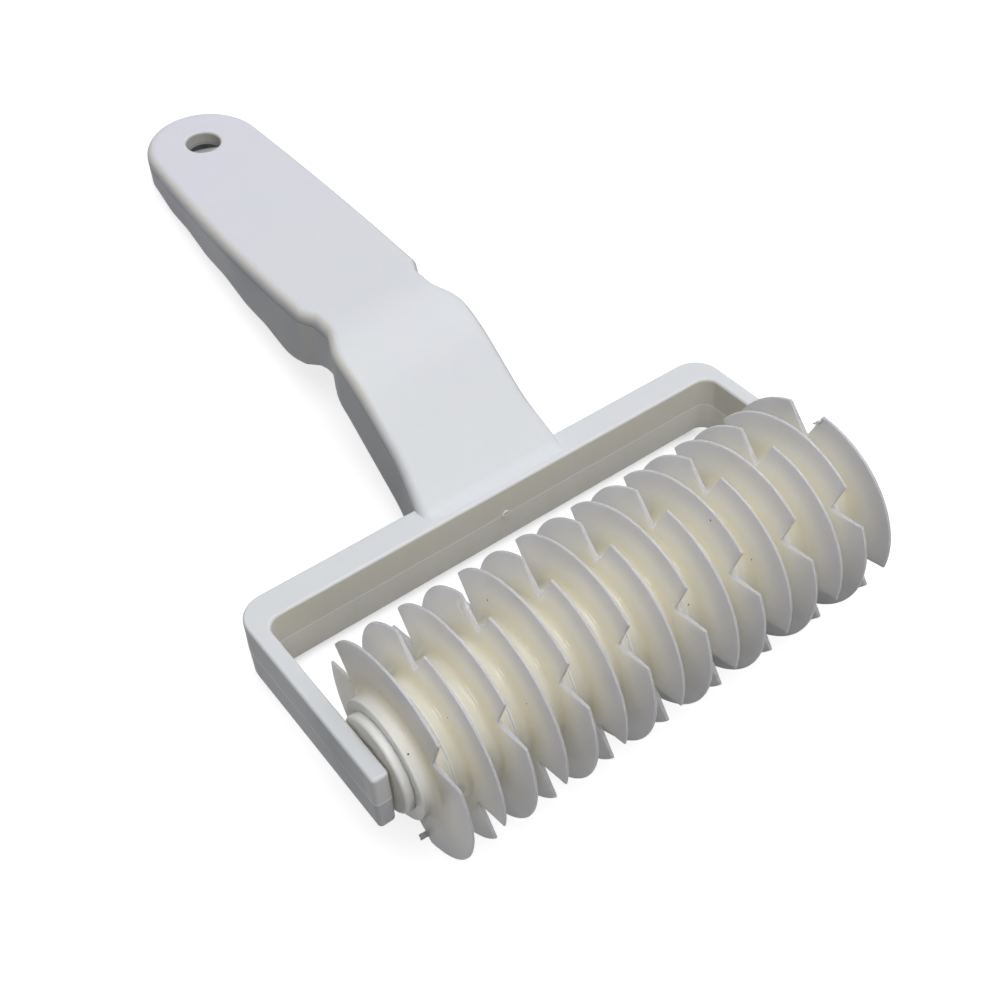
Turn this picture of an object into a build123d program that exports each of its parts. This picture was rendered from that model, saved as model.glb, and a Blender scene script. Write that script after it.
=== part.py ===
from build123d import *
from math import asin, atan2, cos, degrees, hypot, radians, sin, sqrt, tan
import os

# Hand roller that cuts a lattice into rolled dough. Lengths are in millimetres, angles in degrees.
# It lies as it is put down on a table, on its wheels and on the end of its handle.
# X runs along the roller, +Y points to the handle's end and +Z is up.
# The deck is the yoke's flat top, which is tilted on the table. Reaches are measured along it from the
# crossbar's rear edge towards the handle's end, and heights square to it.

# Roller: wheels threaded on a six-sided shaft
wheel_count = 16
wheel_pitch = 6.65
blade_radius = 21.7
blade_rim_thickness = 0.5
blade_root_thickness = 1.0
rim_round_share = 0.8
hub_radius = 12.0
hub_blend_radius = 1.6
hub_edge_radius = 0.3
notches_per_wheel = 3
notch_mouth = 8.5
notch_depth = 7.2
notch_root_radius = 0.5
first_notch_angle = 141.1
hex_flats = 9.0
hex_clearance = 0.05
journal_radius = 3.0
journal_clearance = 0.05
journal_seat = 2.2
journal_chamfer = 0.4
journal_end_gap = 0.3
collar_radius = 9.7
collar_length = 1.85
collar_edge_radius = 0.6
collar_side_gap = 0.25

# Yoke: a crossbar with an arm at each end, widest at the parting line where the mould halves meet
yoke_height = 14.2
parting_depth = 7.1
crossbar_depth = 6.9
arm_thickness = 3.7
throat_gap = 13.8
arm_end_margin = 6.1
axle_depth = 5.4
yoke_outer_radius = 6.1
yoke_inner_radius = 3.0
arm_end_radius = 1.0
draft_angle = 1.0
yoke_edge_radius = 0.6
gate_radius = 0.9
gate_height = 0.3

# Handle from above: half widths, and reaches behind the crossbar
root_half_width = 18.6
neck_half_width = 16.0
waist_half_width = 13.2
grip_half_width = 15.4
grip_widest_reach = 66.0
grip_bow_radius = 600.0
flare_length = 7.5
waist_reach = 37.0
waist_length = 5.3
waist_entry = 5.9
waist_exit = 3.6
handle_reach = 123.0
flare_radius = 30.0
bulge_radius = 12.0
waist_entry_radius = 4.0
waist_exit_radius = 3.0
grip_corner_radius = 2.5

# Handle from the side: heights above the deck
ramp_foot_setback = 4.1
ramp_foot_sink = 0.02
ramp_blend_margin = 0.9
crown_start_reach = 26.0
crown_start_height = 22.4
crown_start_radius = 33.5
crown_middle_setback = 38.0
crown_middle_height = 24.4
crown_end_height = 28.0
neck_foot_depth = 13.7
neck_under_reach = 25.8
neck_under_height = 7.0
finger_notch_reach = 34.3
finger_notch_length = 4.2
finger_notch_height = 10.2
first_crest_reach = 50.0
last_crest_setback = 20.2
finger_crest_heights = (6.6, 10.4, 13.7, 16.5)
finger_groove_depth = 1.0
finger_round_share = 0.6818
underside_radius = 3.0
tip_flat_length = 13.0
tip_under_height = 18.7
handle_edge_radius = 2.0
handle_rim_radius = 0.5

# The handle is moulded as a channel, open below, with a hanging hole
handle_wall = 2.4
handle_plate = 3.2
hole_setback = 12.9
hole_radius = 4.0
hole_edge_radius = 0.6
overrun = 2.0
facing_share = 0.5

# Sizes worked out from those above
stack_length = wheel_count * wheel_pitch
arm_inner_x = stack_length / 2 + collar_length + collar_side_gap
yoke_width = 2 * (arm_inner_x + arm_thickness)
axle_reach = crossbar_depth + throat_gap + blade_radius
arm_reach = axle_reach + arm_end_margin
notch_stagger = 360 / notches_per_wheel / 2
grip_run = handle_reach - grip_widest_reach
tip_radius = (grip_half_width * (2 * grip_bow_radius - grip_half_width) - grip_run**2) / (
    2 * (grip_bow_radius - grip_run)
)
crown_middle_reach = handle_reach - crown_middle_setback
finger_pitch = (handle_reach - last_crest_setback - first_crest_reach) / (len(finger_crest_heights) - 1)
hole_reach = handle_reach - hole_setback
finger_round_radius = finger_round_share * finger_pitch
profile_end = handle_reach + overrun
profile_floor = -yoke_height - overrun

# Tilt that brings the wheels and the handle's end down to one level
rest_reach = handle_reach - handle_rim_radius + axle_reach
rest_rise = tip_under_height + handle_rim_radius + axle_depth
rest_lift = blade_radius - handle_rim_radius
tilt = atan2(rest_rise, rest_reach) + asin(rest_lift / hypot(rest_reach, rest_rise))


def on_table(reach, height):
    """The table's y and z of a reach and a height, taken from the crossbar's rear edge."""
    return reach * cos(tilt) + height * sin(tilt), height * cos(tilt) - reach * sin(tilt)


axle_y, axle_z = on_table(-axle_reach, -axle_depth)
tip_y = on_table(handle_reach - handle_edge_radius, crown_end_height - handle_edge_radius)[0]
deck_y = (blade_radius - axle_y - tip_y - handle_edge_radius) / 2
deck_z = blade_radius - axle_z

# The deck plane lies on the yoke's top and the side plane stands on its middle line.
# The axle plane is square to the roller. On the last two, local x is a reach and local y a height.
deck = Plane(origin=(0, deck_y, deck_z), x_dir=(1, 0, 0), z_dir=(0, sin(tilt), cos(tilt)))
side = Plane(origin=deck.origin, x_dir=deck.y_dir, z_dir=deck.x_dir)
axle = Plane(origin=deck.from_local_coords((0, -axle_reach, -axle_depth)), x_dir=deck.y_dir, z_dir=deck.x_dir)
parting = deck.offset(-parting_depth)
gate_face = Plane(
    origin=deck.from_local_coords((0, -crossbar_depth, -parting_depth)), x_dir=deck.x_dir, z_dir=-deck.y_dir
)
deck_up = Axis(deck.origin, deck.z_dir)
roller_axis = Axis(axle.origin, axle.z_dir)

os.makedirs("parts", exist_ok=True)


def save(piece, name):
    """Label a finished piece and write it under its own name."""
    piece.part.label = name
    export_step(piece.part, f"parts/{name}.step")


def yoke_outline(draw_in):
    """The yoke from above, drawn in by the draft: crossbar at the rear, one arm at each end."""
    outer_x = yoke_width / 2 - draw_in
    inner_x = arm_inner_x + draw_in
    end_radius = arm_end_radius - draw_in
    with BuildSketch() as outline:
        with BuildLine():
            FilletPolyline(
                (0, -draw_in),
                (outer_x, -draw_in),
                (outer_x, draw_in - arm_reach),
                (inner_x, draw_in - arm_reach),
                (inner_x, draw_in - crossbar_depth),
                (0, draw_in - crossbar_depth),
                radius=(yoke_outer_radius - draw_in, end_radius, end_radius, yoke_inner_radius + draw_in),
            )
            mirror(about=Plane.YZ)
        make_face()
    return outline.sketch


def handle_outline():
    """The handle from above: flared root, neck, finger waist, bowed grip and a round end tangent to it."""
    entry_reach = waist_reach - waist_length / 2
    exit_reach = waist_reach + waist_length / 2
    corner_reach = exit_reach + waist_exit
    bow_x = grip_half_width - grip_bow_radius
    corner_x = bow_x + sqrt(grip_bow_radius**2 - (grip_widest_reach - corner_reach) ** 2)
    tip_centre = handle_reach - tip_radius
    tip_turn = atan2(tip_centre - grip_widest_reach, -bow_x)
    with BuildSketch() as outline:
        with BuildLine():
            FilletPolyline(
                (root_half_width, -crossbar_depth),
                (neck_half_width, flare_length),
                (neck_half_width, entry_reach - waist_entry),
                (waist_half_width, entry_reach),
                (waist_half_width, exit_reach),
                (corner_x, corner_reach),
                radius=(flare_radius, bulge_radius, waist_entry_radius, waist_exit_radius),
            )
            ThreePointArc(
                (corner_x, corner_reach),
                (grip_half_width, grip_widest_reach),
                (tip_radius * cos(tip_turn), tip_centre + tip_radius * sin(tip_turn)),
            )
            CenterArc((0, tip_centre), tip_radius, degrees(tip_turn), 90 - degrees(tip_turn))
            mirror(about=Plane.YZ)
            Line((root_half_width, -crossbar_depth), (-root_half_width, -crossbar_depth))
        make_face()
        for corner in ((corner_x, corner_reach), (-corner_x, corner_reach)):
            fillet(outline.vertices().sort_by_distance(corner)[0], grip_corner_radius)
    return outline.sketch


def below_crown(drop):
    """The side view of all that lies below the handle's top line, with that line lowered by a drop."""
    heel = (ramp_blend_margin - crossbar_depth, -ramp_foot_sink - drop)
    toe = (-ramp_foot_setback, -ramp_foot_sink - drop)
    crown_start = (crown_start_reach, crown_start_height - drop)
    crown_end = (profile_end, crown_end_height - drop)
    toe_run = toe[0] - heel[0]
    ramp_turn = atan2(crown_start[1] - toe[1], crown_start[0] - toe[0])
    ramp_start = (toe[0] + toe_run * cos(ramp_turn), toe[1] + toe_run * sin(ramp_turn))
    with BuildSketch() as profile:
        with BuildLine():
            TangentArc(heel, ramp_start, tangent=(1, 0))
            Line(ramp_start, crown_start)
            ThreePointArc(crown_start, (crown_middle_reach, crown_middle_height - drop), crown_end)
            Polyline(crown_end, (profile_end, profile_floor), (heel[0], profile_floor), heel)
        make_face()
        fillet(profile.vertices().sort_by_distance(crown_start)[0], crown_start_radius)
    return profile.sketch


def below_grip():
    """The side view of all that lies below the handle's under edge, with its finger grooves."""
    notch_start = finger_notch_reach - finger_notch_length / 2
    notch_end = finger_notch_reach + finger_notch_length / 2
    under_line = [
        (-crossbar_depth, -neck_foot_depth),
        (0, -neck_foot_depth),
        (neck_under_reach, neck_under_height),
        (notch_start, finger_notch_height),
        (notch_end, finger_notch_height),
    ]
    corner_radii = [0, finger_round_radius, underside_radius, underside_radius]
    previous_height = finger_crest_heights[0]
    for index, crest_height in enumerate(finger_crest_heights):
        crest_reach = first_crest_reach + index * finger_pitch
        if index > 0:
            groove_height = (previous_height + crest_height) / 2 + finger_groove_depth
            under_line.append((crest_reach - finger_pitch / 2, groove_height))
            corner_radii.append(finger_round_radius)
        under_line.append((crest_reach, crest_height))
        corner_radii.append(finger_round_radius)
        previous_height = crest_height
    under_line.append((handle_reach - tip_flat_length, tip_under_height))
    corner_radii.append(underside_radius)
    under_line.append((profile_end, tip_under_height))
    with BuildSketch() as profile:
        with BuildLine():
            FilletPolyline(under_line, radius=corner_radii)
            Polyline(
                under_line[-1],
                (profile_end, profile_floor - overrun),
                (-crossbar_depth, profile_floor - overrun),
                under_line[0],
            )
        make_face()
    return profile.sketch


# Handle: what its outlines from above and from the side have in common, hollowed from below
through_height = crown_end_height + yoke_height + overrun
handle_plan = handle_outline()

with BuildPart() as hollow:
    with BuildSketch(deck):
        add(handle_plan)
        offset(amount=-handle_wall, mode=Mode.REPLACE)
    extrude(amount=through_height, both=True)
    with BuildSketch(side):
        add(below_crown(handle_plate))
        with Locations((handle_wall, 0)):
            Rectangle(2 * handle_reach, 2 * through_height, align=(Align.MIN, Align.CENTER), mode=Mode.INTERSECT)
    extrude(amount=yoke_width, both=True, mode=Mode.INTERSECT)

with BuildPart() as handle:
    with BuildSketch(deck):
        add(handle_plan)
    extrude(amount=through_height, both=True)
    with BuildSketch(side):
        add(below_crown(0))
    extrude(amount=yoke_width, both=True, mode=Mode.INTERSECT)
    with BuildSketch(side):
        add(below_grip())
    extrude(amount=yoke_width, both=True, mode=Mode.SUBTRACT)
    top_faces = handle.faces().filter_by(lambda face: face.normal_at().dot(deck.z_dir) > facing_share)
    fillet(top_faces.edges().filter_by(Axis.X, reverse=True), handle_edge_radius)
    under_faces = handle.faces().filter_by(lambda face: face.normal_at().dot(deck.z_dir) < -facing_share)
    fillet(under_faces.edges().filter_by(Axis.X, reverse=True), handle_rim_radius)
    add(hollow.part, mode=Mode.SUBTRACT)

# Yoke: both mould halves, rounded along their edges, with the handle joined and the bearings bored
with BuildPart() as yoke_handle:
    for mould_height in (parting_depth, parting_depth - yoke_height):
        with BuildSketch(parting):
            add(yoke_outline(0))
        with BuildSketch(parting.offset(mould_height)):
            add(yoke_outline(abs(mould_height) * tan(radians(draft_angle))))
        loft(ruled=True)
    fillet(yoke_handle.faces().sort_by(deck_up)[-1].edges(), yoke_edge_radius)
    fillet(yoke_handle.faces().sort_by(deck_up)[0].edges(), yoke_edge_radius)
    with BuildSketch(gate_face):
        Circle(gate_radius)
    extrude(amount=gate_height, both=True)
    add(handle.part)
    with BuildSketch(axle):
        Circle(journal_radius + journal_clearance)
    extrude(amount=arm_inner_x + journal_seat + journal_end_gap, both=True, mode=Mode.SUBTRACT)
    with BuildSketch(deck):
        with Locations((0, hole_reach)):
            Circle(hole_radius)
    extrude(amount=through_height, mode=Mode.SUBTRACT)
    hole_side = deck.from_local_coords((hole_radius, hole_reach, crown_end_height - handle_plate))
    hole_wall = yoke_handle.faces().sort_by_distance(hole_side)[0]
    fillet(hole_wall.edges().sort_by(deck_up)[-1], hole_edge_radius)
save(yoke_handle, "yoke_handle")

# Core shaft: six-sided through the wheels and collars, with a round journal at each end
with BuildPart() as core_shaft:
    with BuildSketch(axle):
        RegularPolygon(hex_flats / 2, side_count=6, major_radius=False, rotation=first_notch_angle)
    extrude(amount=stack_length / 2 + collar_length, both=True)
    with BuildSketch(axle):
        Circle(journal_radius)
    extrude(amount=arm_inner_x + journal_seat, both=True)
    end_faces = core_shaft.faces().sort_by(Axis.X)
    chamfer(end_faces[0].edges() + end_faces[-1].edges(), journal_chamfer)
save(core_shaft, "core_shaft")


# Six-sided hole that slides over the core shaft
with BuildSketch() as hex_bore:
    bore_flats = hex_flats + 2 * hex_clearance
    RegularPolygon(bore_flats / 2, side_count=6, major_radius=False, rotation=first_notch_angle)


# Notch, pointing along local x with its tip towards the axle
mouth_reach = sqrt(blade_radius**2 - (notch_mouth / 2) ** 2)
root_reach = blade_radius - notch_depth
cut_reach = blade_radius + overrun
cut_half = notch_mouth / 2 * (cut_reach - root_reach) / (mouth_reach - root_reach)
with BuildSketch() as notch:
    with BuildLine():
        Polyline((root_reach, 0), (cut_reach, cut_half), (cut_reach, -cut_half), close=True)
    make_face()
    fillet(notch.vertices().sort_by(Axis.X)[0], notch_root_radius)


def wheel_section():
    """Half of a wheel cut along the axle: a hub as wide as the pitch, and a blade that thins to its rim."""
    hub_half = wheel_pitch / 2
    root_half = blade_root_thickness / 2
    rim_half = blade_rim_thickness / 2
    valley = hub_half - hub_edge_radius - root_half
    with BuildSketch() as section:
        with BuildLine():
            FilletPolyline(
                (0, 0),
                (hub_half, 0),
                (hub_half, hub_radius),
                (root_half, hub_radius),
                (rim_half, blade_radius),
                (0, blade_radius),
                radius=(0, hub_edge_radius, min(hub_blend_radius, valley), rim_half * rim_round_share),
            )
            mirror(about=Plane.YZ)
        make_face()
    return section.sketch


wheel_half = wheel_section()


def blade_wheel(centre_x, notch_angle):
    """One wheel: hub and blade, three notches and the six-sided bore."""
    middle = axle.offset(centre_x)
    section = Plane(origin=middle.origin, x_dir=axle.z_dir, z_dir=-axle.x_dir)
    with BuildPart() as wheel:
        with BuildSketch(section):
            add(wheel_half)
        revolve(axis=roller_axis)
        with BuildSketch(middle):
            with PolarLocations(0, notches_per_wheel, start_angle=notch_angle):
                add(notch.sketch)
        extrude(amount=wheel_pitch / 2, both=True, mode=Mode.SUBTRACT)
        with BuildSketch(middle):
            add(hex_bore.sketch)
        extrude(amount=wheel_pitch, both=True, mode=Mode.SUBTRACT)
    return wheel


# Wheels, from the left arm to the right. Every second one is turned by half the step between notches.
for index in range(wheel_count):
    wheel_x = (index - (wheel_count - 1) / 2) * wheel_pitch
    wheel = blade_wheel(wheel_x, first_notch_angle - index % 2 * notch_stagger)
    save(wheel, f"blade_wheel_{index + 1:02d}")


def end_collar(sign):
    """Ring that closes the stack beside an arm, on the side that the sign gives."""
    stack_end = axle.offset(sign * stack_length / 2)
    with BuildPart() as collar:
        with BuildSketch(stack_end):
            Circle(collar_radius)
        extrude(amount=sign * collar_length)
        outer_face = collar.faces().filter_by(Axis.X).sort_by(Axis.X)[-1 if sign > 0 else 0]
        fillet(outer_face.edges(), collar_edge_radius)
        with BuildSketch(stack_end):
            add(hex_bore.sketch)
        extrude(amount=2 * collar_length, both=True, mode=Mode.SUBTRACT)
    return collar


save(end_collar(-1), "end_collar_left")
save(end_collar(1), "end_collar_right")

print("tilt on the table", round(degrees(tilt), 2))
print("width over the yoke", round(yoke_width, 2))
print("axle at y and z", round(axle.origin.Y, 3), round(axle.origin.Z, 3))
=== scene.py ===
import math

import bpy
from mathutils import Matrix, Vector


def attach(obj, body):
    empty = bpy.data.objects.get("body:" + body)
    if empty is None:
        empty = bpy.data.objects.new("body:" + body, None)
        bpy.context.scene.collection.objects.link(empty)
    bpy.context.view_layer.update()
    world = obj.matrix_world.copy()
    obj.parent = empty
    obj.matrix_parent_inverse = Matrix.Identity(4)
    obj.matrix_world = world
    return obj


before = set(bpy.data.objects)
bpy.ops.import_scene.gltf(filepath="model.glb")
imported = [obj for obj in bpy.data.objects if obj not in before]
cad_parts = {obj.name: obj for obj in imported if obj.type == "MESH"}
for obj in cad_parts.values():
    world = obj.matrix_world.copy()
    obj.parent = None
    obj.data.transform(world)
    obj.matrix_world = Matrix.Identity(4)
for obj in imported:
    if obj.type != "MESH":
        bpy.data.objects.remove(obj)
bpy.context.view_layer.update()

# Looks of a lattice roller cutter: a white moulded frame with a stack of creamy toothed wheels.
# The scene is in metres. Sizes written here are in millimetres, angles in degrees.
MM = 0.001

# Where the frame's flat top and the wheels' axle lie
DECK_TILT = 15.790
DECK_ORIGIN = (0.0, -30.770, 15.359)
AXLE_Y = -73.039
AXLE_Z = 21.7

# Sizes that the finishes follow
HANDLE_REACH = 123.0
RAMP_FOOT = (-4.1, 0.0)
CROWN_START = (26.0, 22.4)
CROWN_BEND_LENGTH = 8.0
CROWN_END_HEIGHT = 27.85
CROWN_SAG = 1.35
HANDLE_PARTING_DROP = 2.8
YOKE_PARTING_DEPTH = 7.1
PARTING_LINE_WIDTH = 0.28
HUB_RADIUS = 12.0
STACK_HALF = 53.2
WHEEL_PITCH = 6.65
HOLE_CENTRE = (0.0, 110.1, 24.85)
HOLE_WALL_RADIUS = 4.45
ARM_INNER_X = 55.3
ARM_END_REACH = -48.5
CROSSBAR_DEPTH = 6.9

# Marks listed one by one: specks with their place about the axle and radius, a painted highlight spot and painted
# highlight streaks
SPECKS = (
    (-52.2, -4.6, 11.1, 0.18),
    (16.3, -0.3, 19.5, 0.20),
    (-23.7, 11.9, 9.9, 0.22),
    (-30.4, -8.3, 11.4, 0.16),
    (-43.7, -3.5, 13.1, 0.14),
    (22.8, -8.2, 10.8, 0.17),
    (7.6, -8.3, 8.6, 0.16),
)
GLINT_PLACE = (-30.3, 11.5, 14.5)
GLINT_RADIUS = 1.7
STREAK_OFFSET = 1.25

# Scraps of flash on the wheels: root about the axle, way out, way along the notch, length, width, curl and seed
SCRAPS = (
    ("flash_first_wheel", (-49.9, -10.6, -17.6), (-1.0, 0.1, -0.1), (0.0, -0.71, -0.71), 1.8, 2.4, 0.3, 3),
    ("flash_last_wheel", (49.8, 5.0, 19.5), (-0.85, 0.2, 0.40), (0.0, 0.26, -0.96), 2.1, 2.8, 0.2, 5),
)
SCRAP_THICKNESS = 0.32
SCRAP_ROOT = 0.35

# Colours as red, green and blue shares of full light
FRAME_GREY = (0.620, 0.638, 0.660)
FRAME_LAVENDER = (0.618, 0.620, 0.690)
FRAME_WARM_SHADE = (0.600, 0.590, 0.545)
INSIDE_BOUNCE_UPPER = (0.715, 0.695, 0.610)
INSIDE_BOUNCE_LOWER = (0.830, 0.810, 0.740)
FRAME_END_LIGHT = (0.800, 0.775, 0.770)
FRAME_DARK = (0.300, 0.305, 0.320)
HOLE_WALL_SHADE = (0.500, 0.490, 0.450)
FRAME_SHADE = (0.500, 0.505, 0.520)
FRAME_HIGHLIGHT = (0.960, 0.960, 0.960)
HUB_CREAM = (0.780, 0.750, 0.635)
HUB_END_LIGHT = (0.945, 0.910, 0.825)
BLADE_IVORY = (0.845, 0.830, 0.780)
BLADE_GREY = (0.755, 0.755, 0.815)
CUT_SHADE_GREY = (0.470, 0.470, 0.500)
GLINT_WHITE = (0.980, 0.980, 1.000)
HIGHLIGHT_CREAM = (0.980, 0.965, 0.900)
SPECK_BROWN = (0.050, 0.042, 0.036)
FRAME_MOTTLE = (0.570, 0.580, 0.610)
WHEEL_MOTTLE = (0.640, 0.620, 0.570)
FLOOR_GREY = (0.400, 0.400, 0.400, 1.0)
FLOOR_DULL = (0.050, 0.050, 0.052, 1.0)
ROOM_COLOUR = (0.970, 0.980, 1.000, 1.0)
WHITE = (1.0, 1.0, 1.0, 1.0)

# How the plastics take light: least and most roughness, index of refraction, and the share, colours and depth of
# the scatter below the surface
FRAME_ROUGHNESS = (0.46, 0.58)
FRAME_IOR = 1.49
FRAME_SCATTER = (0.25, (1.0, 0.8, 0.55), 1.6)
WHEEL_ROUGHNESS = (0.30, 0.40)
WHEEL_IOR = 1.51
WHEEL_SCATTER = (1.0, (1.0, 0.95, 0.85), 2.5)

# Soft lights, in metres and watts: name, place, spot aimed at, side and power
LIGHTS = (
    ("overhead", (-0.02, 0.0, 0.95), (-0.02, 0.0, 0.0), 0.75, 4.7),
    ("ceiling", (0.08, -0.16, 1.25), (0.0, 0.0, 0.0), 2.2, 16.3),
    ("back", (0.75, 0.50, 0.60), (0.0, -0.07, 0.02), 0.6, 1.3),
)
FLOOR_SIDE = 6.0
FLOOR_GLOW = 0.78
ROOM_STRENGTH = 0.05

# Camera
CAMERA_PLACE = (-112.1735, -138.9056, 245.3399)
CAMERA_TURN = (32.5450, -7.0944, -36.3155)
CAMERA_LENS = 49.5825
CAMERA_SENSOR = 36.0


def add_node(tree, kind, inputs=None, **settings):
    """Add a shader node with its settings, and feed its inputs with values or with other nodes' outputs."""
    node = tree.nodes.new(kind)
    for name, value in settings.items():
        setattr(node, name, value)
    for name, value in (inputs or {}).items():
        if isinstance(value, bpy.types.NodeSocket):
            tree.links.new(value, node.inputs[name])
        else:
            node.inputs[name].default_value = value
    return node


def work_out(tree, operation, first, second=0.0):
    """The result of a sum on one or two values."""
    return add_node(tree, "ShaderNodeMath", {0: first, 1: second}, operation=operation).outputs[0]


def product(tree, *values):
    """The values multiplied together."""
    result = values[0]
    for value in values[1:]:
        result = work_out(tree, "MULTIPLY", result, value)
    return result


def fade(tree, value, start, end, low=0.0, high=1.0):
    """A soft step: low up to the start, high from the end on."""
    inputs = {"Value": value, "From Min": start, "From Max": end, "To Min": low, "To Max": high}
    return add_node(tree, "ShaderNodeMapRange", inputs, interpolation_type="SMOOTHSTEP").outputs["Result"]


def blend_colour(tree, share, first, second):
    """The first colour where the share is 0, the second where it is 1."""
    node = add_node(tree, "ShaderNodeMix", {"Factor": share}, data_type="RGBA")
    for socket, colour in ((node.inputs[6], first), (node.inputs[7], second)):
        if isinstance(colour, bpy.types.NodeSocket):
            tree.links.new(colour, socket)
        else:
            socket.default_value = (*colour, 1.0)
    return node.outputs[2]


def cloud(tree, place, size, detail=2.0, stretch=(1.0, 1.0, 1.0)):
    """Soft noise from 0 to 1 whose patches are about the size given in millimetres, longer where stretched."""
    scale = tuple(1.0 / (size * factor) for factor in stretch)
    scaled = add_node(tree, "ShaderNodeVectorMath", {0: place, 1: scale}, operation="MULTIPLY").outputs[0]
    inputs = {"Vector": scaled, "Scale": 1.0, "Detail": detail}
    return add_node(tree, "ShaderNodeTexNoise", inputs).outputs[0]


def specks(tree, place, spacing, radius, kept_share):
    """1 inside small dark specks, of which only a share of the places on a loose grid has one."""
    cells = add_node(tree, "ShaderNodeTexVoronoi", {"Vector": place, "Scale": 1.0 / spacing})
    dot = fade(tree, cells.outputs["Distance"], radius / spacing, 0.6 * radius / spacing)
    draw = add_node(tree, "ShaderNodeSeparateColor", {"Color": cells.outputs["Color"]}).outputs[0]
    kept = work_out(tree, "LESS_THAN", draw, kept_share)
    return product(tree, dot, kept)


def near_spot(tree, place, centre, radius, blur):
    """1 within a radius of a spot, with a soft border."""
    apart = add_node(tree, "ShaderNodeVectorMath", {0: place, 1: centre}, operation="DISTANCE").outputs["Value"]
    return fade(tree, apart, radius * (1.0 + blur), radius * (1.0 - blur))


def edge_glint(tree, radius):
    """Near 1 along sharp edges and 0 on open faces."""
    rounded = add_node(tree, "ShaderNodeBevel", {"Radius": radius * MM}, samples=6).outputs[0]
    plain = add_node(tree, "ShaderNodeNewGeometry").outputs["Normal"]
    likeness = add_node(tree, "ShaderNodeVectorMath", {0: rounded, 1: plain}, operation="DOT_PRODUCT")
    return fade(tree, likeness.outputs["Value"], 0.985, 0.86)


def edge_faces(tree):
    """1 on the faces that lie along the axle, such as the blades' rims and the sides of their notches."""
    normal = add_node(tree, "ShaderNodeTexCoord").outputs["Normal"]
    sideways = work_out(tree, "ABSOLUTE", add_node(tree, "ShaderNodeSeparateXYZ", {"Vector": normal}).outputs["X"])
    return fade(tree, sideways, 0.8, 0.4)


def frame_place(tree):
    """Across, along and above the frame's flat top, in millimetres."""
    coordinates = add_node(tree, "ShaderNodeTexCoord").outputs["Object"]
    inputs = {
        "Vector": coordinates,
        "Location": [length * MM for length in DECK_ORIGIN],
        "Rotation": (-math.radians(DECK_TILT), 0.0, 0.0),
        "Scale": (MM, MM, MM),
    }
    return add_node(tree, "ShaderNodeMapping", inputs, vector_type="TEXTURE").outputs[0]


def axle_place(tree):
    """Place about the axle, in millimetres."""
    coordinates = add_node(tree, "ShaderNodeTexCoord").outputs["Object"]
    inputs = {
        "Vector": coordinates,
        "Location": (0.0, AXLE_Y * MM, AXLE_Z * MM),
        "Scale": (MM, MM, MM),
    }
    return add_node(tree, "ShaderNodeMapping", inputs, vector_type="TEXTURE").outputs[0]


def crown_height(reach):
    """Height of the handle's top line above the flat top, along its ramp and then its long crown."""
    slope = (CROWN_START[1] - RAMP_FOOT[1]) / (CROWN_START[0] - RAMP_FOOT[0])
    ramp = (reach - RAMP_FOOT[0]) * slope
    share = (reach - CROWN_START[0]) / (HANDLE_REACH - CROWN_START[0])
    rise = CROWN_END_HEIGHT - CROWN_START[1]
    crown = CROWN_START[1] + rise * share - 4.0 * CROWN_SAG * share * (1.0 - share)
    bend = max(0.0, 1.0 - abs(ramp - crown) / CROWN_BEND_LENGTH)
    return min(ramp, crown) - CROWN_BEND_LENGTH / 4.0 * bend**2 / 2.0


def handle_parting_line(tree, place):
    """1 on the fine line that runs round the handle's sides a little below its top edge."""
    parts = add_node(tree, "ShaderNodeSeparateXYZ", {"Vector": place})
    reach, height = parts.outputs["Y"], parts.outputs["Z"]
    curve = add_node(tree, "ShaderNodeFloatCurve", {"Value": work_out(tree, "DIVIDE", reach, HANDLE_REACH)})
    points = curve.mapping.curves[0].points
    points[0].location = (0.0, crown_height(0.0) / HANDLE_REACH)
    points[1].location = (1.0, crown_height(HANDLE_REACH) / HANDLE_REACH)
    for step in range(1, 16):
        points.new(step / 16, crown_height(HANDLE_REACH * step / 16) / HANDLE_REACH)
    curve.mapping.update()
    crown = work_out(tree, "MULTIPLY", curve.outputs[0], HANDLE_REACH)
    below = work_out(tree, "SUBTRACT", crown, height)
    offset = work_out(tree, "ABSOLUTE", work_out(tree, "SUBTRACT", below, HANDLE_PARTING_DROP))
    line = fade(tree, offset, PARTING_LINE_WIDTH, 0.3 * PARTING_LINE_WIDTH)
    return product(tree, line, fade(tree, reach, 1.0, 2.0))


def yoke_parting_line(tree, place):
    """1 on the fine line where the mould halves met, half way down the crossbar and the arms."""
    parts = add_node(tree, "ShaderNodeSeparateXYZ", {"Vector": place})
    reach, height = parts.outputs["Y"], parts.outputs["Z"]
    offset = work_out(tree, "ABSOLUTE", work_out(tree, "ADD", height, YOKE_PARTING_DEPTH))
    line = fade(tree, offset, PARTING_LINE_WIDTH, 0.3 * PARTING_LINE_WIDTH)
    return product(tree, line, fade(tree, reach, 0.6, 0.2))


def set_body(surface, ior, scatter):
    """Give a plastic its index of refraction and its scatter below the surface."""
    share, spread, depth = scatter
    surface.inputs["IOR"].default_value = ior
    surface.inputs["Subsurface Weight"].default_value = share
    surface.inputs["Subsurface Radius"].default_value = spread
    surface.inputs["Subsurface Scale"].default_value = depth * MM


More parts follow.
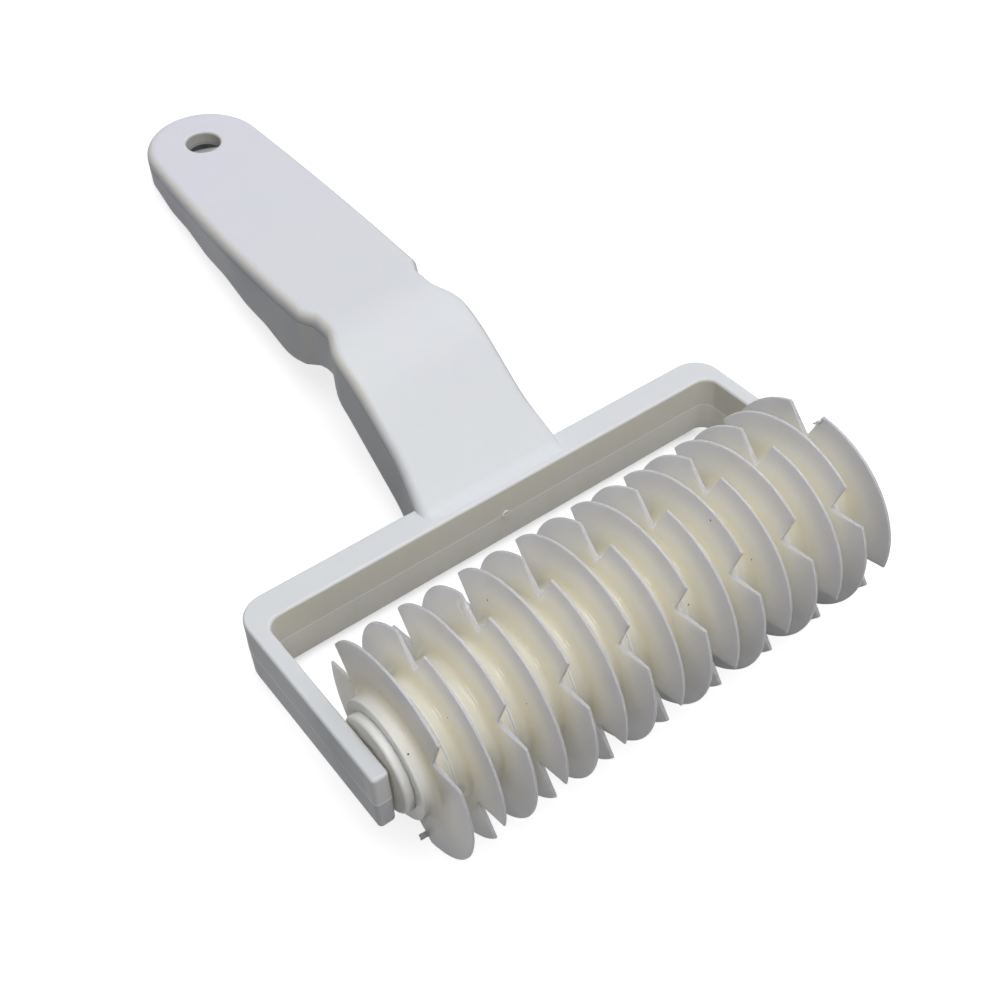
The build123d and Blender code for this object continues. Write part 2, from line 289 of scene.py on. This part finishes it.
def frame_plastic():
    """Cool white plastic, with warm painted bounce light inside the yoke, painted light and shade on some faces, flow
    streaks, parting lines, painted highlights along the edges and a few specks.
    """
    material = bpy.data.materials.new("frame_plastic")
    material.use_nodes = True
    tree = material.node_tree
    surface = tree.nodes["Principled BSDF"]
    place = frame_place(tree)
    parts = add_node(tree, "ShaderNodeSeparateXYZ", {"Vector": place})
    across, reach, height = parts.outputs["X"], parts.outputs["Y"], parts.outputs["Z"]
    facing = add_node(tree, "ShaderNodeTexCoord").outputs["Normal"]
    normal = add_node(tree, "ShaderNodeSeparateXYZ", {"Vector": facing})
    lean = normal.outputs["X"]

    # a cool white that turns to lavender in clouds and towards the handle's end
    tint = product(tree, cloud(tree, place, 26.0, 3.0), 0.6)
    tint = work_out(tree, "ADD", tint, fade(tree, reach, 30.0, 110.0, 0.0, 0.45))
    colour = blend_colour(tree, fade(tree, tint, 0.2, 0.9), FRAME_GREY, FRAME_LAVENDER)

    # painted warm shade on the handle's rounded left edge
    rounded = product(tree, fade(tree, lean, -0.15, -0.5), fade(tree, lean, -0.98, -0.85), fade(tree, reach, 10.0, 20.0))
    colour = blend_colour(tree, product(tree, rounded, 0.8), colour, FRAME_WARM_SHADE)

    # painted warm bounce light from the wheels on the walls inside the yoke, above and below the parting line
    behind = fade(tree, reach, 0.7 - CROSSBAR_DEPTH, 0.1 - CROSSBAR_DEPTH)
    between = fade(tree, work_out(tree, "ABSOLUTE", across), ARM_INNER_X + 0.6, ARM_INNER_X + 0.2)
    upper = fade(tree, height, -0.1 - YOKE_PARTING_DEPTH, 0.1 - YOKE_PARTING_DEPTH)
    steep = fade(tree, normal.outputs["Z"], 0.75, 0.45)
    inside = product(tree, behind, between, steep)
    colour = blend_colour(tree, inside, colour, blend_colour(tree, upper, INSIDE_BOUNCE_LOWER, INSIDE_BOUNCE_UPPER))

    # painted shade on the handle's right edge and on the wall of the hole, painted light on the arms' ends, and
    # painted shade on the lower mould half
    right_edge_shade = product(tree, fade(tree, lean, 0.45, 0.80), fade(tree, lean, 0.995, 0.96))
    right_edge_shade = product(tree, right_edge_shade, fade(tree, reach, 0.0, 8.0), 0.7)
    colour = blend_colour(tree, right_edge_shade, colour, FRAME_DARK)
    hole_shade = near_spot(tree, place, HOLE_CENTRE, HOLE_WALL_RADIUS, 0.02)
    colour = blend_colour(tree, hole_shade, colour, HOLE_WALL_SHADE)
    lit_arm_ends = product(tree, upper, steep, fade(tree, reach, ARM_END_REACH + 4.0, ARM_END_REACH + 2.0))
    colour = blend_colour(tree, product(tree, lit_arm_ends, 0.7), colour, FRAME_END_LIGHT)
    lower_shade = work_out(tree, "SUBTRACT", 1.0, work_out(tree, "MAXIMUM", upper, inside))
    lower_shade = product(tree, lower_shade, fade(tree, reach, 0.8, 0.3))
    colour = blend_colour(tree, product(tree, lower_shade, 0.3), colour, FRAME_SHADE)

    # fine mottle, parting lines, with the yoke's drawn as a painted highlight line, painted highlights along the
    # edges, and specks
    mottle = cloud(tree, place, 1.6, 4.0)
    colour = blend_colour(tree, fade(tree, mottle, 0.35, 0.75, 0.0, 0.08), colour, FRAME_MOTTLE)
    seam = handle_parting_line(tree, place)
    colour = blend_colour(tree, product(tree, seam, 0.7), colour, FRAME_DARK)
    lines = yoke_parting_line(tree, place)
    edges = product(tree, edge_glint(tree, 0.12), 0.6)
    line_and_edge_highlight = work_out(tree, "MAXIMUM", product(tree, lines, 0.9), product(tree, edges, 0.3))
    colour = blend_colour(tree, line_and_edge_highlight, colour, FRAME_HIGHLIGHT)
    dirt = specks(tree, place, 16.0, 0.22, 0.22)
    colour = blend_colour(tree, product(tree, dirt, 0.35), colour, SPECK_BROWN)
    tree.links.new(colour, surface.inputs["Base Color"])

    streaks = cloud(tree, place, 2.2, 3.0, stretch=(1.0, 12.0, 12.0))
    roughness = fade(tree, streaks, 0.30, 0.70, *FRAME_ROUGHNESS)
    roughness = work_out(tree, "SUBTRACT", roughness, product(tree, edges, 0.12))
    tree.links.new(roughness, surface.inputs["Roughness"])

    relief = work_out(tree, "ADD", cloud(tree, place, 0.5, 2.0), product(tree, streaks, 1.5))
    relief = work_out(tree, "ADD", relief, product(tree, work_out(tree, "MAXIMUM", lines, seam), 4.0))
    bump = add_node(tree, "ShaderNodeBump", {"Strength": 0.5, "Distance": 0.008 * MM, "Height": relief})
    tree.links.new(bump.outputs[0], surface.inputs["Normal"])

    set_body(surface, FRAME_IOR, FRAME_SCATTER)
    return material


def wheel_plastic(name, cut_shade_share):
    """Creamy see-through plastic: warm and deep at the hubs, paler and cooler towards the thin rims."""
    material = bpy.data.materials.new(name)
    material.use_nodes = True
    tree = material.node_tree
    surface = tree.nodes["Principled BSDF"]
    place = axle_place(tree)
    across = add_node(tree, "ShaderNodeVectorMath", {0: place, 1: (0.0, 1.0, 1.0)}, operation="MULTIPLY").outputs[0]
    radius = add_node(tree, "ShaderNodeVectorMath", {0: across}, operation="LENGTH").outputs["Value"]

    # from the hubs' cream to the blades' ivory and the rims' grey, with painted light making the ends of the stack
    # paler
    drift = product(tree, work_out(tree, "SUBTRACT", cloud(tree, place, 9.0, 3.0), 0.5), 2.5)
    depth = work_out(tree, "ADD", radius, drift)
    parts = add_node(tree, "ShaderNodeSeparateXYZ", {"Vector": place})
    along = work_out(tree, "ABSOLUTE", parts.outputs["X"])
    end = fade(tree, along, STACK_HALF - 4.0, STACK_HALF)
    pale = work_out(tree, "MAXIMUM", fade(tree, depth, HUB_RADIUS, 17.0), end)
    colour = blend_colour(tree, pale, HUB_CREAM, BLADE_IVORY)
    colour = blend_colour(tree, fade(tree, depth, 15.5, 21.5), colour, BLADE_GREY)
    mottle = cloud(tree, place, 1.2, 4.0)
    colour = blend_colour(tree, fade(tree, mottle, 0.35, 0.75, 0.0, 0.06), colour, WHEEL_MOTTLE)

    # painted shade on the rims and the sides of the notches, and painted light on the outer ends of the hubs
    cut_shade = product(tree, edge_faces(tree), fade(tree, radius, HUB_RADIUS + 0.6, HUB_RADIUS + 1.6))
    colour = blend_colour(tree, product(tree, cut_shade, cut_shade_share), colour, CUT_SHADE_GREY)
    lit_hub_end = fade(tree, along, STACK_HALF - 3.0, STACK_HALF - 0.5)
    lit_hub_end = product(tree, lit_hub_end, fade(tree, radius, HUB_RADIUS + 2.0, HUB_RADIUS + 0.6))
    colour = blend_colour(tree, product(tree, lit_hub_end, 0.8), colour, HUB_END_LIGHT)

    # painted highlights lighten the grooves where two hubs meet, and where the collars meet the stack
    on_hub = fade(tree, radius, HUB_RADIUS + 0.4, HUB_RADIUS + 0.1)
    lit_groove = fade(tree, work_out(tree, "PINGPONG", along, WHEEL_PITCH / 2.0), 0.45, 0.25)
    lit_groove = product(tree, lit_groove, on_hub)
    lit_joint = work_out(tree, "ABSOLUTE", work_out(tree, "SUBTRACT", along, STACK_HALF))
    lit_joint = product(tree, fade(tree, lit_joint, 0.60, 0.35), on_hub)
    lit_groove = work_out(tree, "MAXIMUM", lit_groove, lit_joint)
    colour = blend_colour(tree, product(tree, lit_groove, 0.8), colour, HIGHLIGHT_CREAM)

    # short painted highlight streaks on the hubs beside each blade, near the top
    beside = work_out(tree, "ADD", parts.outputs["X"], WHEEL_PITCH / 2.0 + STREAK_OFFSET)
    beside = work_out(tree, "PINGPONG", beside, WHEEL_PITCH / 2.0)
    beside = work_out(tree, "ABSOLUTE", work_out(tree, "SUBTRACT", beside, 0.24))
    streak_highlight = product(tree, fade(tree, beside, 0.12, 0.05), fade(tree, parts.outputs["Z"], 8.0, 10.0))
    stretch = product(tree, fade(tree, parts.outputs["Y"], -5.0, -3.5), fade(tree, parts.outputs["Y"], 0.5, -1.0))
    streak_highlight = product(tree, streak_highlight, stretch, fade(tree, cloud(tree, place, 2.0, 3.0), 0.40, 0.55))
    colour = blend_colour(tree, product(tree, streak_highlight, 0.8), colour, HIGHLIGHT_CREAM)

    # a painted highlight spot on one blade, and specks
    glint_spot = near_spot(tree, place, GLINT_PLACE, GLINT_RADIUS, 0.5)
    glint_streaks = fade(tree, cloud(tree, place, 0.5, 3.0, stretch=(1.0, 2.5, 1.0)), 0.42, 0.54)
    glint_spot = product(tree, glint_spot, glint_streaks)
    colour = blend_colour(tree, product(tree, glint_spot, 0.95), colour, GLINT_WHITE)
    for x, y, z, size in SPECKS:
        dot = near_spot(tree, place, (x, y, z), size, 0.35)
        colour = blend_colour(tree, dot, colour, SPECK_BROWN)
    tree.links.new(colour, surface.inputs["Base Color"])

    smears = cloud(tree, place, 5.0, 2.0)
    roughness = fade(tree, smears, 0.30, 0.70, *WHEEL_ROUGHNESS)
    tree.links.new(roughness, surface.inputs["Roughness"])

    relief = work_out(tree, "ADD", cloud(tree, place, 0.9, 2.0), product(tree, smears, 3.0))
    bump = add_node(tree, "ShaderNodeBump", {"Strength": 0.4, "Distance": 0.006 * MM, "Height": relief})
    tree.links.new(bump.outputs[0], surface.inputs["Normal"])

    set_body(surface, WHEEL_IOR, WHEEL_SCATTER)
    return material


def flash_scrap(name, root, outwards, along, length, width, curl, seed):
    """A ragged scrap of moulding flash that stands out from the side of a blade's notch."""
    bpy.ops.object.select_all(action="DESELECT")
    bpy.ops.mesh.primitive_grid_add(x_subdivisions=8, y_subdivisions=5, size=1.0)
    scrap = bpy.context.object
    scrap.name = name
    bpy.ops.object.mode_set(mode="EDIT")
    bpy.ops.mesh.select_all(action="SELECT")
    bpy.ops.transform.resize(value=(length * MM, width * MM, MM))
    bpy.ops.transform.vertex_random(offset=0.12 * MM, uniform=0.6, seed=seed)
    for start, thinning in ((0.0, 0.8), (0.25, 0.65)):
        bpy.ops.object.mode_set(mode="OBJECT")
        for vertex in scrap.data.vertices:
            vertex.select = vertex.co.x > start * length * MM
        bpy.ops.object.mode_set(mode="EDIT")
        bpy.ops.mesh.select_mode(type="VERT")
        bpy.ops.transform.resize(value=(1.0, thinning, 1.0))
        bpy.ops.transform.translate(value=(0.0, 0.0, curl * MM / 2.0))
    bpy.ops.object.mode_set(mode="OBJECT")
    wall = scrap.modifiers.new("thickness", "SOLIDIFY")
    wall.thickness = SCRAP_THICKNESS * MM
    wall.offset = 0.0
    bpy.ops.object.modifier_apply(modifier=wall.name)
    smooth = scrap.modifiers.new("smooth", "SUBSURF")
    smooth.levels = smooth.render_levels = 2
    bpy.ops.object.modifier_apply(modifier=smooth.name)
    bpy.ops.object.shade_smooth()
    outwards, along = Vector(outwards).normalized(), Vector(along).normalized()
    scrap.rotation_euler = Matrix((outwards, along, outwards.cross(along))).transposed().to_euler()
    centre = Vector(root) + outwards * (length / 2.0 - SCRAP_ROOT)
    scrap.location = (centre + Vector((0.0, AXLE_Y, AXLE_Z))) * MM
    bpy.ops.object.transform_apply(location=True, rotation=True, scale=True)
    return scrap


def dress(names, material):
    """Give CAD nodes a finish."""
    for name in names:
        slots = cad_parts[name].data.materials
        slots.clear()
        slots.append(material)


def seen_directly(tree):
    """1 for what the camera sees, also in a gloss or through a clear piece."""
    path = add_node(tree, "ShaderNodeLightPath")
    seen = work_out(tree, "MAXIMUM", path.outputs["Is Camera Ray"], path.outputs["Is Glossy Ray"])
    return work_out(tree, "MAXIMUM", seen, path.outputs["Is Transmission Ray"])


def lay_floor():
    """A plain pale floor that keeps the soft shadow, with its glow dimmed to a painted shade where the object closes
    it in.
    """
    bpy.ops.object.select_all(action="DESELECT")
    bpy.ops.mesh.primitive_plane_add(size=FLOOR_SIDE)
    floor = bpy.context.object
    floor.name = "floor"
    material = bpy.data.materials.new("floor")
    material.use_nodes = True
    tree = material.node_tree
    tree.nodes.clear()
    # painted shade: the floor's glow fades out where the object closes it in
    open_share = add_node(tree, "ShaderNodeAmbientOcclusion", {"Distance": 10.0 * MM}, samples=8).outputs["AO"]
    strength = fade(tree, open_share, 0.12, 0.40, 0.0, FLOOR_GLOW)
    lit = add_node(tree, "ShaderNodeBsdfDiffuse", {"Color": FLOOR_GREY})
    glow = add_node(tree, "ShaderNodeEmission", {"Color": WHITE, "Strength": strength})
    pale = add_node(tree, "ShaderNodeAddShader", {0: lit.outputs[0], 1: glow.outputs[0]})
    dull = add_node(tree, "ShaderNodeBsdfDiffuse", {"Color": FLOOR_DULL})
    inputs = {0: seen_directly(tree), 1: dull.outputs[0], 2: pale.outputs[0]}
    mix = add_node(tree, "ShaderNodeMixShader", inputs)
    add_node(tree, "ShaderNodeOutputMaterial", {"Surface": mix.outputs[0]})
    floor.data.materials.append(material)


def softbox(name, place, aim, size, power):
    """A square soft light that points at a spot."""
    light = bpy.data.lights.new(name, "AREA")
    light.size = size
    light.energy = power
    lamp = bpy.data.objects.new(name, light)
    bpy.context.scene.collection.objects.link(lamp)
    lamp.location = place
    direction = Vector([goal - spot for goal, spot in zip(aim, place)])
    lamp.rotation_euler = direction.to_track_quat("-Z", "Y").to_euler()


def light_studio():
    """A softbox overhead, a wide ceiling light and a faint one behind, in dim surroundings with a white backdrop."""
    for sizes in LIGHTS:
        softbox(*sizes)
    world = bpy.data.worlds.new("studio")
    bpy.context.scene.world = world
    world.use_nodes = True
    tree = world.node_tree
    tree.nodes.clear()
    dim = add_node(tree, "ShaderNodeBackground", {"Color": ROOM_COLOUR, "Strength": ROOM_STRENGTH})
    white = add_node(tree, "ShaderNodeBackground", {"Color": WHITE, "Strength": 1.0})
    inputs = {0: seen_directly(tree), 1: dim.outputs[0], 2: white.outputs[0]}
    mix = add_node(tree, "ShaderNodeMixShader", inputs)
    add_node(tree, "ShaderNodeOutputWorld", {"Surface": mix.outputs[0]})


def place_camera():
    """The camera, from above the left arm."""
    camera = bpy.data.cameras.new("camera")
    camera.lens = CAMERA_LENS
    camera.sensor_width = CAMERA_SENSOR
    stand = bpy.data.objects.new("camera", camera)
    bpy.context.scene.collection.objects.link(stand)
    stand.location = [length * MM for length in CAMERA_PLACE]
    stand.rotation_euler = [math.radians(turn) for turn in CAMERA_TURN]
    bpy.context.scene.camera = stand


roller_nodes = [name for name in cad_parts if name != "yoke_handle"]
wheels_finish = wheel_plastic("wheel_plastic", 0.9)
scrap_finish = wheel_plastic("flash_plastic", 0.2)
dress(["yoke_handle"], frame_plastic())
dress(roller_nodes, wheels_finish)

for sizes in SCRAPS:
    scrap = flash_scrap(*sizes)
    scrap.data.materials.append(scrap_finish)
    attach(scrap, "roller")

lay_floor()
light_studio()
place_camera()
bpy.context.scene.view_settings.view_transform = "Standard"
